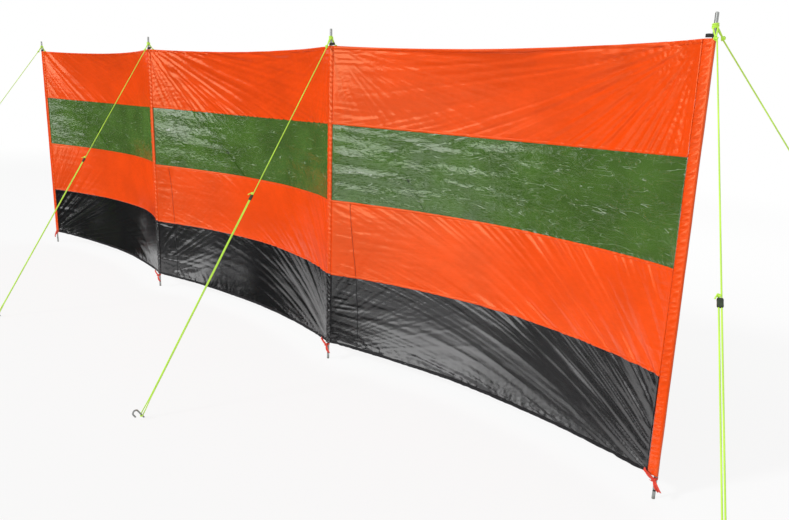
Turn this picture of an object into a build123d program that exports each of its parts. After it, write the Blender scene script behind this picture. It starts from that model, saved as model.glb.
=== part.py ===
"""Beach windbreak: bays of cloth with a clear window strip, carried by steel poles and guy lines.

The row runs along +X and its front faces -Y. The origin is the centre of the left pole's foot,
at ground level. Lengths are in millimetres and angles in degrees.
"""
from build123d import *

import os
from math import acos, atan2, cos, hypot, radians, sin, tan

os.makedirs("parts", exist_ok=True)

# Row of poles
bay_count = 3
bay_width = 1500

# Cloth: heights are taken at the poles
cloth_gap = 75
fabric_height = 1250
top_band_height = 302
window_height = 320
middle_band_height = 314
cloth_thickness = 2
edge_sag = 14
seam_clearance = 0.3

# Depth of the belly at mid bay, on each line from the top edge down to the bottom edge
top_edge_belly_depth = 85
window_head_belly_depth = 165
window_sill_belly_depth = 180
skirt_head_belly_depth = 178
bottom_edge_belly_depth = 105

# Poles
pole_diameter = 10
pole_reach = 65
pole_fit = 0.3
tip_chamfer = 2
spike_joint_height = 26
spike_joint_width = 5
spike_joint_depth = 0.8

# Flat sides of the cloth and cord wraps round a pole
wrap_sides = 12

# Sleeves
sleeve_wall = 1
end_seam_distance = 28
middle_seam_distance = 13
seam_thickness = 2.4
seam_margin = 3

# Webbing loops on top of the sleeves
webbing_width = 14
webbing_thickness = 1.6
webbing_tail_distance = 22
webbing_tail_thickness = 4

# Tape ties under the sleeves
tape_width = 8
tape_thickness = 1.4
tie_knot_size = 9
bow_length = 22
bow_height = 12
bow_drop = 2
bow_waist_share = 0.6
bow_tip_share = 0.3
tie_tail_length = 30
tie_tail_spread = 14

# Guy lines
rope_diameter = 4
rope_sides = 6
front_guy_reach = 870
rear_guy_reach = 1060
end_guy_angle = 31.5
hitch_lift = 16
hitch_wrap_thickness = 5
hitch_wrap_height = 9
hitch_distance = 40
hitch_knot_diameter = 10
hitch_knot_length = 12
strand_spacing = 6
stop_knot_diameter = 9
stop_knot_length = 9
ground_loop_height = 14
ground_loop_radius = 7
ground_loop_taper = 70
loop_nose_share = 0.4
slider_share = 0.45

# Sliders
slider_length = 24
slider_width = 16
slider_thickness = 9
slider_edge = 2
slider_fit = 0.3

# Pegs
peg_diameter = 6
peg_sides = 6
peg_lean = 35
peg_neck = 24
peg_hook_radius = 10
peg_hook_tail = 12
peg_fit = 0.3

overrun = 50

# Sizes that follow
pole_count = bay_count + 1
pole_radius = pole_diameter / 2
bore_radius = pole_radius + pole_fit
sleeve_radius = bore_radius + sleeve_wall
tie_radius = bore_radius + tape_thickness
rope_radius = rope_diameter / 2
strand_offset = strand_spacing / 2
peg_radius = peg_diameter / 2
hitch_radius = bore_radius + hitch_wrap_thickness / 2
bottom_edge = cloth_gap
top_edge = cloth_gap + fabric_height
window_head = top_edge - top_band_height
window_sill = window_head - window_height
skirt_head = window_sill - middle_band_height
pole_height = top_edge + pole_reach
hitch_height = top_edge + webbing_width + hitch_lift
numbers = range(1, pole_count + 1)
rows = {"front": -1, "rear": 1}


def pole_x(number):
    """Place along the row of a pole, counted from 1 at the left end."""
    return (number - 1) * bay_width


def seam_distance(number):
    """Distance from a pole's axis to the seam where its sleeve meets the cloth."""
    return end_seam_distance if number in (1, pole_count) else middle_seam_distance


def seam_sides(number):
    """Directions along the row, -1 or 1, in which cloth leaves a pole."""
    return [side for side, present in ((-1, number > 1), (1, number < pole_count)) if present]


def guy_outward(number, facing):
    """Level vector from a pole to the foot of its front (-1) or rear (1) guy line.

    The guy lines of the end poles turn away from the row.
    """
    reach = front_guy_reach if facing < 0 else rear_guy_reach
    splay = reach * tan(radians(end_guy_angle))
    sideways = {1: -splay, pole_count: splay}.get(number, 0)
    return Vector(sideways, facing * reach, 0)


def guy_plane(number, facing):
    """Plane of a guy line's strands: origin at the hitch, local X down the line, Y across it."""
    outward = guy_outward(number, facing)
    hitch = Vector(pole_x(number), 0, hitch_height)
    foot = Vector(pole_x(number), 0, ground_loop_height) + outward
    across = Vector(0, 0, 1).cross(outward)
    return Plane(origin=hitch, x_dir=foot - hitch, z_dir=(foot - hitch).cross(across))


def hitch_plane(number, facing):
    """Level plane of the hitch round a pole: local X points to the guy line's foot."""
    hitch = Vector(pole_x(number), 0, hitch_height)
    return Plane(origin=hitch, x_dir=guy_outward(number, facing), z_dir=(0, 0, 1))


def guy_length(number, facing):
    """Distance from the hitch on the pole to the middle of the loop at the peg."""
    return hypot(guy_outward(number, facing).length, hitch_height - ground_loop_height)


# Poles: round bar with a chamfered tip and a ring groove where the ground spike begins
for number in numbers:
    with BuildPart() as pole:
        with BuildSketch(Plane.XZ.shift_origin((pole_x(number), 0, 0))):
            with BuildLine():
                Polyline(
                    (0, 0),
                    (pole_radius, 0),
                    (pole_radius, spike_joint_height),
                    (pole_radius - spike_joint_depth, spike_joint_height),
                    (pole_radius - spike_joint_depth, spike_joint_height + spike_joint_width),
                    (pole_radius, spike_joint_height + spike_joint_width),
                    (pole_radius, pole_height - tip_chamfer),
                    (pole_radius - tip_chamfer, pole_height),
                    (0, pole_height),
                    close=True,
                )
            make_face()
        revolve(axis=Axis((pole_x(number), 0, 0), (0, 0, 1)))
    pole.part.label = f"pole_{number}"
    export_step(pole.part, f"parts/pole_{number}.step")


# Sleeves: the cloth wraps the pole and closes to a flat seam on each side that carries cloth.
# End sleeves are one colour over their whole height, the others change at the skirt.
sleeve_runs = []
for number in numbers:
    if number in (1, pole_count):
        sleeve_runs.append((f"pole_sleeve_{number}", number, bottom_edge, top_edge))
    else:
        sleeve_runs.append((f"pole_sleeve_{number}", number, skirt_head, top_edge))
        sleeve_runs.append((f"lower_sleeve_{number}", number, bottom_edge, skirt_head))

for node, number, foot, head in sleeve_runs:
    with BuildPart() as sleeve:
        with BuildSketch(Plane((pole_x(number), 0, foot))):
            Circle(sleeve_radius)
            for side in seam_sides(number):
                with Locations((side * (seam_distance(number) - seam_margin / 2), 0)):
                    Rectangle(seam_margin, seam_thickness)
            make_hull()
            Circle(bore_radius, mode=Mode.SUBTRACT)
        extrude(amount=head - foot)
    sleeve.part.label = node
    export_step(sleeve.part, f"parts/{node}.step")


# Bays: each seam line is an arc in a leaning plane, so that it bellies to the rear and sags at the
# same time. A band is lofted from the line below it to the line above it.
seam_lines = {
    "bottom": (bottom_edge, bottom_edge_belly_depth),
    "skirt_head": (skirt_head, skirt_head_belly_depth),
    "window_sill": (window_sill, window_sill_belly_depth),
    "window_head": (window_head, window_head_belly_depth),
    "top": (top_edge, top_edge_belly_depth),
}
bands = {
    "skirt": ("bottom", "skirt_head"),
    "middle_band": ("skirt_head", "window_sill"),
    "window": ("window_sill", "window_head"),
    "top_band": ("window_head", "top"),
}

for bay in range(1, bay_count + 1):
    left = pole_x(bay) + seam_distance(bay) + seam_clearance
    right = pole_x(bay + 1) - seam_distance(bay + 1) - seam_clearance
    middle = (left + right) / 2
    for name, (lower, upper) in bands.items():
        with BuildPart() as band:
            for line, inset in ((lower, seam_clearance / 2), (upper, -seam_clearance / 2)):
                height, belly = seam_lines[line]
                depth = hypot(belly, edge_sag)
                with BuildSketch(Plane((0, 0, height + inset), x_dir=(1, 0, 0), z_dir=(0, edge_sag, belly))):
                    with BuildLine():
                        front = ThreePointArc(
                            (left, -cloth_thickness / 2),
                            (middle, depth - cloth_thickness / 2),
                            (right, -cloth_thickness / 2),
                        )
                        back = ThreePointArc(
                            (left, cloth_thickness / 2),
                            (middle, depth + cloth_thickness / 2),
                            (right, cloth_thickness / 2),
                        )
                        Line(front @ 0, back @ 0)
                        Line(front @ 1, back @ 1)
                    make_face()
            loft(ruled=True)
        band.part.label = f"bay_{bay}_{name}"
        export_step(band.part, f"parts/bay_{bay}_{name}.step")


# Webbing loops: a strap round the pole whose tail lies on the sleeve's top edge
for number in numbers:
    tail_side = seam_sides(number)[-1]
    with BuildPart() as webbing_loop:
        with BuildSketch(Plane((pole_x(number), 0, top_edge))):
            RegularPolygon(bore_radius + webbing_thickness, wrap_sides, major_radius=False)
            with Locations((tail_side * (webbing_tail_distance - seam_margin / 2), 0)):
                Rectangle(seam_margin, webbing_tail_thickness)
            make_hull()
            offset(amount=-webbing_thickness, mode=Mode.SUBTRACT)
        extrude(amount=webbing_width)
    webbing_loop.part.label = f"webbing_loop_{number}"
    export_step(webbing_loop.part, f"parts/webbing_loop_{number}.step")


# Tape ties: a turn of tape under the sleeve, tied in a bow at the front
for number in numbers:
    tie_middle = bottom_edge - tape_width / 2
    knot_y = -bore_radius - tie_knot_size / 2
    front_plane = Plane((pole_x(number), knot_y, tie_middle), x_dir=(1, 0, 0), z_dir=(0, -1, 0))
    with BuildPart() as tape_tie:
        with BuildSketch(Plane((pole_x(number), 0, bottom_edge - tape_width))):
            RegularPolygon(tie_radius, wrap_sides, major_radius=False)
            RegularPolygon(bore_radius, wrap_sides, major_radius=False, mode=Mode.SUBTRACT)
        extrude(amount=tape_width)
        with Locations((pole_x(number), knot_y, tie_middle)):
            Box(tie_knot_size, tie_knot_size, tape_width)
        for side in (-1, 1):
            with BuildSketch(front_plane):
                with BuildLine():
                    Polyline(
                        (0, 0),
                        (side * bow_length * bow_waist_share, bow_height / 2 - bow_drop),
                        (side * bow_length, bow_height * bow_tip_share - bow_drop),
                        (side * bow_length, -bow_height * bow_tip_share - bow_drop),
                        (side * bow_length * bow_waist_share, -bow_height / 2 - bow_drop),
                        close=True,
                    )
                make_face()
                offset(amount=-tape_thickness, mode=Mode.SUBTRACT)
            extrude(amount=tape_width / 2, both=True)
        with BuildSketch(front_plane):
            for side in (-1, 1):
                with BuildLine():
                    Line((0, 0), (side * tie_tail_spread, -tie_tail_length))
                trace(line_width=tape_width)
        extrude(amount=tape_thickness / 2, both=True)
    tape_tie.part.label = f"tape_tie_{number}"
    export_step(tape_tie.part, f"parts/tape_tie_{number}.step")


# Guy lines: one line per pole, hitched round it above the webbing loop. To the front and to the
# rear a loop from the hitch ends in a knot. From there the line runs down through a slider, opens
# to turn round a peg and comes back up through the slider to a stop knot.
for number in numbers:
    with BuildPart() as guy_line:
        with BuildSketch(Plane((pole_x(number), 0, hitch_height))):
            RegularPolygon(bore_radius + hitch_wrap_thickness, wrap_sides, major_radius=False)
            RegularPolygon(bore_radius, wrap_sides, major_radius=False, mode=Mode.SUBTRACT)
        extrude(amount=hitch_wrap_height / 2, both=True)
        for facing in rows.values():
            plane = guy_plane(number, facing)
            level = hitch_plane(number, facing)
            knot = plane.from_local_coords(Vector(hitch_distance, 0, 0))
            touch = acos(hitch_radius / level.to_local_coords(knot).X)
            for side in (-1, 1):
                touch_point = Vector(hitch_radius * cos(touch), side * hitch_radius * sin(touch), 0)
                with BuildLine() as loop_strand:
                    Line(level.from_local_coords(touch_point), knot)
                with BuildSketch(Plane(origin=loop_strand.wire() @ 0, z_dir=loop_strand.wire() % 0)):
                    RegularPolygon(rope_radius, rope_sides)
                sweep()
            with BuildSketch(Plane(origin=knot, z_dir=plane.x_dir)):
                RegularPolygon(hitch_knot_diameter / 2, rope_sides)
            extrude(amount=hitch_knot_length / 2, both=True)
            length = guy_length(number, facing)
            stop = length * slider_share - (slider_length + stop_knot_length) / 2
            nose = ground_loop_radius * loop_nose_share
            with BuildLine(plane) as long_strand:
                Polyline(
                    (hitch_distance, strand_offset),
                    (length - ground_loop_taper, strand_offset),
                    (length, ground_loop_radius),
                    (length + ground_loop_radius, nose),
                    (length + ground_loop_radius, -nose),
                    (length, -ground_loop_radius),
                    (length - ground_loop_taper, -strand_offset),
                    (stop, -strand_offset),
                )
            with BuildSketch(Plane(origin=long_strand.wire() @ 0, x_dir=plane.z_dir, z_dir=plane.x_dir)):
                RegularPolygon(rope_radius, rope_sides)
            sweep(transition=Transition.RIGHT)
            with BuildSketch(Plane(origin=long_strand.wire() @ 1, z_dir=plane.x_dir)):
                RegularPolygon(stop_knot_diameter / 2, rope_sides)
            extrude(amount=stop_knot_length / 2, both=True)
    guy_line.part.label = f"guy_line_{number}"
    export_step(guy_line.part, f"parts/guy_line_{number}.step")


# Sliders: a block with chamfered corners on each guy line, bored for both strands
for row_name, facing in rows.items():
    with BuildPart() as sliders:
        for number in numbers:
            plane = guy_plane(number, facing)
            place = guy_length(number, facing) * slider_share
            middle = plane.from_local_coords(Vector(place, 0, 0))
            with BuildSketch(Plane(origin=middle, x_dir=plane.z_dir, z_dir=plane.x_dir)):
                Rectangle(slider_thickness, slider_width)
                chamfer(vertices(), slider_edge)
                for side in (-1, 1):
                    with Locations((0, side * strand_offset)):
                        bore = rope_radius + slider_fit
                        RegularPolygon(bore, rope_sides, major_radius=False, mode=Mode.SUBTRACT)
            extrude(amount=slider_length / 2, both=True)
    sliders.part.label = f"{row_name}_guy_sliders"
    export_step(sliders.part, f"parts/{row_name}_guy_sliders.step")


# Pegs: hooked wire, leaning away from the row, that the guy lines loop round. They end at
# ground level.
for row_name, facing in rows.items():
    with BuildPart() as pegs:
        for number in numbers:
            outward = guy_outward(number, facing)
            side_plane = Plane((pole_x(number), 0, 0), x_dir=outward, z_dir=outward.cross(Vector(0, 0, 1)))
            reach = outward.length
            slope = atan2(hitch_height - ground_loop_height, reach)
            lean = Vector(sin(radians(peg_lean)), cos(radians(peg_lean)))
            away = Vector(lean.Y, -lean.X)
            bearing = (rope_radius + peg_radius + peg_fit) / cos(slope - radians(peg_lean))
            seat = Vector(cos(slope), -sin(slope)) * (ground_loop_radius - bearing)
            held = Vector(reach, ground_loop_height) + seat
            shank_foot = held - lean * (ground_loop_height + overrun)
            shank_head = held + lean * peg_neck
            hook_turn = shank_head + (lean + away) * peg_hook_radius
            hook_side = shank_head + away * peg_hook_radius * 2
            hook_end = hook_side - lean * peg_hook_tail
            corners = [shank_foot, shank_head, hook_turn, hook_side, hook_end]
            with BuildLine(side_plane) as peg_route:
                Polyline([(corner.X, corner.Y) for corner in corners])
            route = peg_route.wire()
            with BuildSketch(Plane(origin=route @ 0, x_dir=side_plane.z_dir, z_dir=route % 0)):
                RegularPolygon(peg_radius, peg_sides)
            sweep(transition=Transition.RIGHT)
        split(bisect_by=Plane.XY, keep=Keep.TOP)
    pegs.part.label = f"{row_name}_pegs"
    export_step(pegs.part, f"parts/{row_name}_pegs.step")
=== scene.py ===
"""Looks of a beach windbreak, laid out as a Blender add-on and run as a script.

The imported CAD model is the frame. Lengths are in metres in its own axes: the row of poles runs
along +X, the front faces -Y and the ground is at Z 0.
"""
from math import cos, pi, radians, sin, tan

import bmesh
import bpy
import numpy as np
from bpy.props import FloatProperty, FloatVectorProperty, PointerProperty
from mathutils import Matrix, Vector


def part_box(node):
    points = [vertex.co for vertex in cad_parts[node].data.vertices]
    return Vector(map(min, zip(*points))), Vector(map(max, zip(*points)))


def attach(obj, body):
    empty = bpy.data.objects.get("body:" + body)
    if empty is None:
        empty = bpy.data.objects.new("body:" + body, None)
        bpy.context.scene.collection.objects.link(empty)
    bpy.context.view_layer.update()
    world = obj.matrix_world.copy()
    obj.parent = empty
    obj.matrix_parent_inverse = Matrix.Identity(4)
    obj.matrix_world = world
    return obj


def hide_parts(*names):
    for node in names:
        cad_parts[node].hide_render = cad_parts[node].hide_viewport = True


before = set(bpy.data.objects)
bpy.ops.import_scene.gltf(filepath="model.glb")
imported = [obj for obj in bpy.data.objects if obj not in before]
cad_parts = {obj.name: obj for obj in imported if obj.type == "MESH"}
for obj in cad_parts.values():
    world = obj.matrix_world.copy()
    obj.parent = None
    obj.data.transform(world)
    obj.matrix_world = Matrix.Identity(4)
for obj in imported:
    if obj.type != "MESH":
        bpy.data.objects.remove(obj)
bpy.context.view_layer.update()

bl_info = {
    "name": "Beach windbreak",
    "version": (1, 0, 0),
    "blender": (4, 5, 0),
    "location": "View3D > Sidebar > Windbreak",
    "description": "Dresses the CAD frame of a beach windbreak in cloth, film, cord and steel",
    "category": "Object",
}

# Places read from the frame
NUMBERS = (1, 2, 3, 4)
MIDDLE_NUMBERS = (2, 3)
BAYS = (1, 2, 3)
POLE_X = {n: sum(corner.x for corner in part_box(f"pole_{n}")) / 2 for n in NUMBERS}
POLE_RADIUS = (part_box("pole_1")[1].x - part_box("pole_1")[0].x) / 2
BAY_EDGES = {bay: tuple(corner.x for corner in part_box(f"bay_{bay}_window")) for bay in BAYS}
BOTTOM_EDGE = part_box("pole_sleeve_1")[0].z
SKIRT_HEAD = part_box("lower_sleeve_2")[1].z
WINDOW_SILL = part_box("bay_1_middle_band")[1].z
WINDOW_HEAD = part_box("bay_1_window")[1].z
TOP_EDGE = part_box("pole_sleeve_1")[1].z
SEAM_HEIGHTS = (BOTTOM_EDGE, SKIRT_HEAD, WINDOW_SILL, WINDOW_HEAD, TOP_EDGE)

# Belly of the cloth at mid bay on each of these seams, and how far every seam sags there
SEAM_BELLIES = (0.105, 0.178, 0.180, 0.165, 0.085)
EDGE_SAG = 0.014
BELLY = np.polynomial.Polynomial.fit(SEAM_HEIGHTS, SEAM_BELLIES, len(SEAM_HEIGHTS) - 1)

# Folds that fan out from the corners of each bay: top left, top right, foot left, foot right. Each has
# its strength, and how far beyond the corner its folds would meet, along the row and upright.
FANS = {
    1: ((1.1, 0.35, 0.30), (0.4, 0.0, 0.0), (0.8, 0.20, 0.10), (0.4, 0.30, 0.10)),
    2: ((1.5, 0.05, 0.05), (0.6, 0.0, 0.0), (0.3, 0.20, 0.10), (1.0, 0.30, 0.10)),
    3: ((0.3, 0.0, 0.0), (1.1, 0.0, 0.0), (0.2, 0.20, 0.10), (1.2, 0.30, 0.10)),
}

# Spokes of a fan in one radian, waves that they drift each time the distance doubles, and seed
SPOKES = {
    "broad": (17, 0.4, 0),
    "broad_ridge": (22, 0.4, 50),
    "narrow": (16, 1.2, 60),
    "narrow_ridge": (13, 1.2, 70),
}

# Other folds of the cloth: wavelength along the row, wavelength upright, and seed
FOLDS = {
    "billow": (0.42, 0.36, 5),
    "pull": (0.38, 0.030, 6),
    "left_gather": (0.30, 0.018, 8),
    "left_ridge": (0.34, 0.026, 9),
    "right_gather": (0.12, 0.015, 10),
    "patches": (0.5, 0.11, 11),
    "film_wave": (0.28, 0.044, 20),
    "crinkle": (0.040, 0.016, 21),
    "crinkle_ridge": (0.07, 0.022, 22),
    "hem": (0.021, 0.04, 30),
    "fine_hem": (0.010, 0.012, 31),
}

# Distances over which folds fade: from seams, from the poles, from the hem and from sewn edges
REACHES = {"seam": 0.055, "left_pole": 0.22, "right_pole": 0.05, "hem": 0.030, "sewn": 0.014}

# Strength of the level gathers beside the left pole and of the window film's waves in each bay
GATHER_SHARES = {1: 0.25, 2: 0.4, 3: 0.6}
FILM_SHARES = {1: 0.35, 2: 0.55, 3: 1.0}

# The cloth's mesh is coarser in the bays that stand further from the camera
GRID_SHARES = {1: 1.4, 2: 1.4, 3: 1.0}

# Bays with a sewn tuck, and its distance from the left edge at the bottom edge and at the window sill
TUCK_BAYS = (2, 3)
TUCK_DISTANCES = (0.13, 0.075)
STRIP_SIDES = 8

# Guy lines, as in the CAD model
ROWS = {"front": -1, "rear": 1}
ROPE_RADIUS = 0.002
HITCH_HEIGHT = TOP_EDGE + 0.030
HITCH_RADIUS = POLE_RADIUS + ROPE_RADIUS + 0.0002
HITCH_DISTANCE = 0.040
GUY_REACHES = {-1: 0.870, 1: 1.060}
END_GUY_ANGLE = radians(31.5)
GROUND_LOOP_HEIGHT = 0.014
GROUND_LOOP_RADIUS = 0.007
GROUND_LOOP_TAPER = 0.070
STRAND_OFFSET = 0.003
SLIDER_SHARE = 0.45

# Tapes that leave the knot of a tie: bearing seen from the front, length, bow to the side and twist
TIE_TAPES = (
    (141, 0.044, 0.004, 0.3),
    (147, 0.042, -0.002, -0.5),
    (305, 0.040, 0.002, -0.3),
    (299, 0.036, -0.003, 0.7),
    (205, 0.013, 0.0, 0.5),
)

# Dark cards on the floor that only reflections see: left edge, front edge, width and depth
FLOOR_FLAGS = {
    "far_flag": (-25.0, -25.0, 45.0, 21.6),
    "left_flag": (-25.0, -3.4, 26.75, 1.3),
    "left_strip_flag": (-25.0, -2.1, 25.5, 0.4),
    "middle_strip_flag": (1.05, -2.1, 0.7, 0.4),
    "near_left_flag": (-25.0, -1.7, 26.05, 1.45),
    "near_gap_flag": (1.05, -1.7, 0.45, 0.85),
    "near_middle_flag": (1.5, -1.7, 1.35, 1.45),
    "near_foot_flag": (2.85, -0.62, 0.35, 0.37),
    "near_right_flag": (3.2, -1.7, 16.8, 1.45),
}

# The card that stands beyond the left end: place along the row, front edge, depth and height
SIDE_FLAG = (-6.5, -9.7, 9.45, 8.0)


def length_property(name, description, default):
    return FloatProperty(name=name, description=description, default=default, unit="LENGTH")


def power_property(name, description, default):
    return FloatProperty(name=name, description=description, default=default, unit="POWER")


def colour_property(name, description, default):
    return FloatVectorProperty(name=name, description=description, default=default, subtype="COLOR", size=3)


class WindbreakCloth(bpy.types.PropertyGroup):
    """Sizes of the cloth, its folds and its seams."""

    grid_step: length_property("Grid step", "Spacing of the cloth's mesh", 0.0048)
    thickness: length_property("Thickness", "Thickness of cloth and film", 0.0008)
    billow: length_property("Billow", "Depth of the broad waves", 0.012)
    fan: length_property("Corner folds", "Depth of the folds that leave the corners", 0.0075)
    pull: length_property("Level folds", "Depth of the long folds from pole to pole", 0.0009)
    pucker: length_property("Puckers", "Depth of the gathers beside the poles", 0.0058)
    film_bag: length_property("Film bag", "How far the film bags to the front", 0.006)
    film_wave: length_property("Film waves", "Depth of the long waves in the film", 0.0048)
    film_crinkle: length_property("Film crinkles", "Depth of the small creases in the film", 0.0006)
    hem_wave: length_property("Hem waves", "Depth of the waves along the bottom hem", 0.0045)
    hem_width: length_property("Hem width", "Width of the folded hems", 0.012)
    seam_width: length_property("Seam width", "Width of the folded seams between bands", 0.010)
    seam_thickness: length_property("Seam thickness", "Thickness of hems and seams", 0.0032)


class WindbreakColours(bpy.types.PropertyGroup):
    """Colours of the pieces."""

    orange: colour_property("Orange cloth", "Colour of the orange cloth", (0.84, 0.066, 0.003))
    black: colour_property("Black cloth", "Colour of the black cloth", (0.006, 0.006, 0.007))
    film: colour_property("Film tint", "What one layer of the window film lets through", (0.38, 0.54, 0.24))
    guy: colour_property("Guy line", "Colour of the guy lines", (0.58, 0.92, 0.10))
    tape: colour_property("Tape", "Colour of the tape ties", (0.80, 0.055, 0.025))
    webbing: colour_property("Webbing", "Colour of the webbing loops", (0.012, 0.012, 0.013))
    steel: colour_property("Steel", "Colour of poles and pegs", (0.40, 0.41, 0.40))
    plastic: colour_property("Slider plastic", "Colour of the sliders", (0.02, 0.03, 0.015))


class WindbreakStage(bpy.types.PropertyGroup):
    """Floor, lights and camera."""

    floor: colour_property("Floor", "Colour of the floor", (0.80, 0.80, 0.80))
    sky: FloatProperty(name="Sky", description="Strength of the light from all round", default=0.36)
    soft_box: power_property("Soft box", "Power of the large lamp in front", 1450.0)
    sun: FloatProperty(name="Sun", description="Strength of the light from the front left", default=1.9)
    rear: power_property("Rear lamp", "Power of the large lamp behind", 110.0)
    lens: FloatProperty(name="Lens", description="Focal length of the camera", default=32.61, unit="CAMERA")


class Value:
    """An output of a node. Arithmetic on it adds Math nodes."""

    def __init__(self, shading, socket):
        self.shading = shading
        self.socket = socket

    def _math(self, operation, first, second):
        return self.shading.node("ShaderNodeMath", {"operation": operation}, {0: first, 1: second})

    def __add__(self, other):
        return self._math("ADD", self, other)

    __radd__ = __add__

    def __mul__(self, other):
        return self._math("MULTIPLY", self, other)

    __rmul__ = __mul__

    def __sub__(self, other):
        return self._math("SUBTRACT", self, other)

    def __rsub__(self, other):
        return self._math("SUBTRACT", other, self)


class Shading:
    """A node tree that is filled by calls: every node comes from node()."""

    def __init__(self, owner):
        owner.use_nodes = True
        self.owner = owner
        self.nodes = owner.node_tree.nodes
        self.links = owner.node_tree.links
        self.nodes.clear()

    def feed(self, socket, value):
        """Links a Value to a socket, or sets the socket to a number or colour."""
        if isinstance(value, Value):
            self.links.new(value.socket, socket)
        elif socket.type == "RGBA" and len(value) == 3:
            socket.default_value = (*value, 1.0)
        else:
            socket.default_value = value

    def node(self, kind, settings=None, sockets=None, output=0):
        """A new node of that kind, its settings made first, then its sockets. Gives one output."""
        made = self.nodes.new(kind)
        for name, value in (settings or {}).items():
            setattr(made, name, value)
        for key, value in (sockets or {}).items():
            self.feed(made.inputs[key], value)
        return Value(self, made.outputs[output]) if len(made.outputs) else None

    def uv(self):
        return self.node("ShaderNodeTexCoord", output="UV")

    def place(self):
        return self.node("ShaderNodeTexCoord", output="Object")

    def stretched(self, vector, scale, turn=0.0):
        sockets = {"Vector": vector, "Rotation": (0.0, 0.0, turn), "Scale": scale}
        return self.node("ShaderNodeMapping", None, sockets)

    def noise(self, vector, scale, detail=2.0, roughness=0.5):
        sockets = {"Vector": vector, "Scale": scale, "Detail": detail, "Roughness": roughness}
        return self.node("ShaderNodeTexNoise", None, sockets)

    def part(self, vector, axis):
        return self.node("ShaderNodeSeparateXYZ", None, {"Vector": vector}, axis)

    def sine(self, value):
        return self.node("ShaderNodeMath", {"operation": "SINE"}, {0: value})

    def apart(self, value, other):
        """How far a value is from a number, either way."""
        return self.node("ShaderNodeMath", {"operation": "ABSOLUTE"}, {0: value - other})

    def smooth(self, value, low, high):
        """0 below low, 1 above high, and a smooth rise between."""
        sockets = {"Value": value, "From Min": low, "From Max": high}
        return self.node("ShaderNodeMapRange", {"interpolation_type": "SMOOTHSTEP"}, sockets)

    def mixed(self, share, first, second):
        """A mix of two colours."""
        sockets = {"Factor": share, 6: first, 7: second}
        return self.node("ShaderNodeMix", {"data_type": "RGBA"}, sockets, 2)

    def bump(self, height, distance, strength=1.0, normal=None):
        sockets = {"Height": height, "Distance": distance, "Strength": strength}
        if normal is not None:
            sockets["Normal"] = normal
        return self.node("ShaderNodeBump", None, sockets)

    def principled(self, sockets):
        return self.node("ShaderNodeBsdfPrincipled", None, sockets)

    def surface(self, shader):
        """Ends the tree with that shader and gives the material."""
        self.node("ShaderNodeOutputMaterial", None, {"Surface": shader})
        return self.owner


def shaded(colour, share):
    """A colour made lighter or darker by a share."""
    return tuple(min(1.0, channel * share) for channel in colour)


def cloth_finish(name, colour, gloss, roughness, light_share, gloss_tint=(1.0, 1.0, 1.0), relief=0.5):
    """Coated woven cloth on UV in metres: plain weave, fine creases, faint mottling that is partly painted
    shade, and a soft gloss.
    """
    thread_pitch = 0.0011
    s = Shading(bpy.data.materials.new(name))
    uv = s.uv()
    broad = s.noise(uv, scale=5.0, detail=3.0)
    fine = s.noise(s.stretched(uv, (1.0, 2.2, 1.0)), scale=42.0, detail=4.0, roughness=0.6)
    warp, weft = (s.sine(s.part(uv, axis) * (2 * pi / thread_pitch)) for axis in (0, 1))
    creases = s.bump(fine, distance=0.0012, strength=relief)
    # The mottling is mostly random, but the fine noise that raises the creases also lightens their tops and
    # darkens their hollows: faint painted shade.
    tone = s.smooth(broad * 0.7 + fine * 0.3, low=0.3, high=0.7)
    return s.surface(s.principled({
        "Base Color": s.mixed(tone, shaded(colour, 0.9), shaded(colour, light_share)),
        "Roughness": roughness + (fine - 0.5) * 0.14,
        "Specular IOR Level": gloss,
        "Specular Tint": gloss_tint,
        "Normal": s.bump(warp * weft, distance=0.00006, strength=0.35, normal=creases),
    }))


def film_finish(name, tint):
    """Clear tinted film: a see-through layer under a glossy face with fine level creases and painted glint
    streaks.
    """
    s = Shading(bpy.data.materials.new(name))
    uv = s.uv()
    dents = s.noise(s.stretched(uv, (1.0, 0.6, 1.0)), scale=46.0, detail=1.0)
    ripples = s.noise(s.stretched(uv, (1.0, 1.8, 1.0)), scale=52.0, detail=3.0, roughness=0.6)
    levels = s.noise(s.stretched(uv, (1.0, 3.0, 1.0)), scale=11.0, detail=3.0, roughness=0.55)
    slants = s.noise(s.stretched(uv, (1.0, 5.5, 1.0), turn=0.12), scale=8.0, detail=1.5)
    patches = s.noise(s.stretched(uv, (1.0, 2.0, 1.0)), scale=14.0)
    # Thin whitish level lines in patches are painted glint streaks: there the face is lighter, rougher and
    # less see-through, standing in for light off crumples.
    lines = 1.0 - s.smooth(s.apart(slants, 0.5), low=0.0, high=0.014)
    painted_glint = lines * s.smooth(patches, low=0.50, high=0.64)
    cloud = s.smooth(s.noise(uv, scale=7.0, detail=3.0), low=0.3, high=0.7)
    dented = s.bump(s.smooth(dents, low=0.70, high=0.74), distance=0.0030, strength=0.8)
    rippled = s.bump(ripples, distance=0.0020, strength=0.6, normal=dented)
    creases = s.smooth(s.apart(levels, 0.5), low=0.0, high=0.02)
    face = s.principled({
        "Base Color": s.mixed(painted_glint, (0.030, 0.060, 0.014), (0.42, 0.48, 0.40)),
        "Roughness": 0.02 + painted_glint * 0.2,
        "IOR": 2.5,
        "Normal": s.bump(creases, distance=0.0010, strength=0.6, normal=rippled),
    })
    clear = s.node("ShaderNodeBsdfTransparent", None, {"Color": tint})
    share = 0.32 + cloud * 0.16 + painted_glint * 0.2
    return s.surface(s.node("ShaderNodeMixShader", None, {0: share, 1: clear, 2: face}))


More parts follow.
